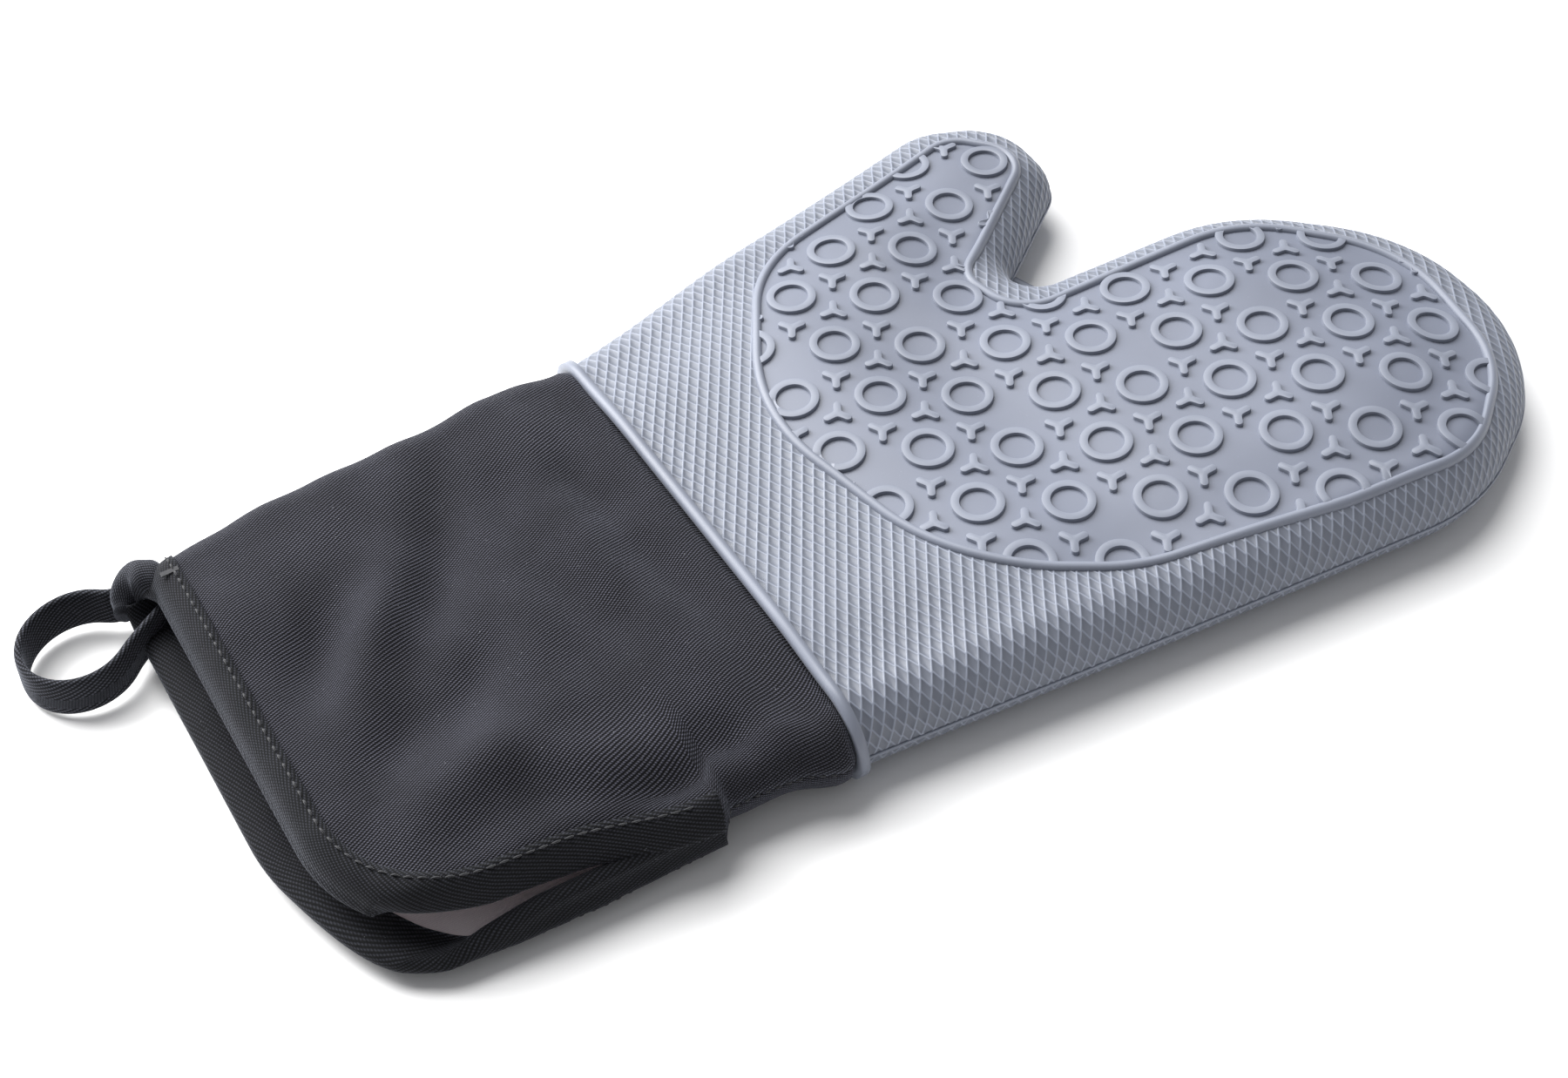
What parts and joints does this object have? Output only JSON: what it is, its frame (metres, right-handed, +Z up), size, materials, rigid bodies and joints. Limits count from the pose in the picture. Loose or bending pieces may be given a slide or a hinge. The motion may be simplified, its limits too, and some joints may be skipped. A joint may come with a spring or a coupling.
{
  "type": "oven mitt",
  "caption": "Oven mitt with a grey-blue silicone hand, raised ring grip on both faces, a black twill cuff slit at the side and a hanging loop at its corner.",
  "frame": {"origin": "centre of the whole mitt's footprint, on the surface that it lies on", "axes": "+X towards the fingertips, +Y towards the thumb, +Z up out of the palm"},
  "size_m": [0.3628, 0.1935, 0.026],
  "materials": {
    "silicone": "satin moulded silicone",
    "twill": "black cotton twill",
    "tape": "black twill tape",
    "lining": "pale woven cotton",
    "padding": "cotton wadding",
    "thread": "spun sewing thread"
  },
  "bodies": {
    "hand": {"silicone_shell": "silicone", "hand_padding_palm": "padding", "hand_padding_back": "padding", "hand_lining_palm": "lining", "hand_lining_back": "lining"},
    "cuff": {"cuff_outer_palm": "twill", "cuff_outer_back": "twill", "cuff_padding_palm": "padding", "cuff_padding_back": "padding", "cuff_lining_palm": "lining", "cuff_lining_back": "lining", "edge_binding_palm": "tape", "edge_binding_back": "tape", "binding_stitch_palm": "thread", "binding_stitch_back": "thread", "side_seam_near": "thread", "side_seam_far": "thread", "loop_ends": "tape", "loop_bartack": "thread"},
    "loop": {"hanging_loop": "tape"}
  },
  "joints": [
    {"name": "cuff_fold", "type": "hinge", "parent": "hand", "child": "cuff", "pos_m": [-0.0469, 0, 0.0125], "axis": [0, 1, 0], "range_deg": [-45, 45]},
    {"name": "loop_swing", "type": "hinge", "parent": "cuff", "child": "loop", "pos_m": [-0.157, 0.0557, 0.0065], "axis": [0, 0, 1], "range_deg": [-35, 35]}
  ]
}
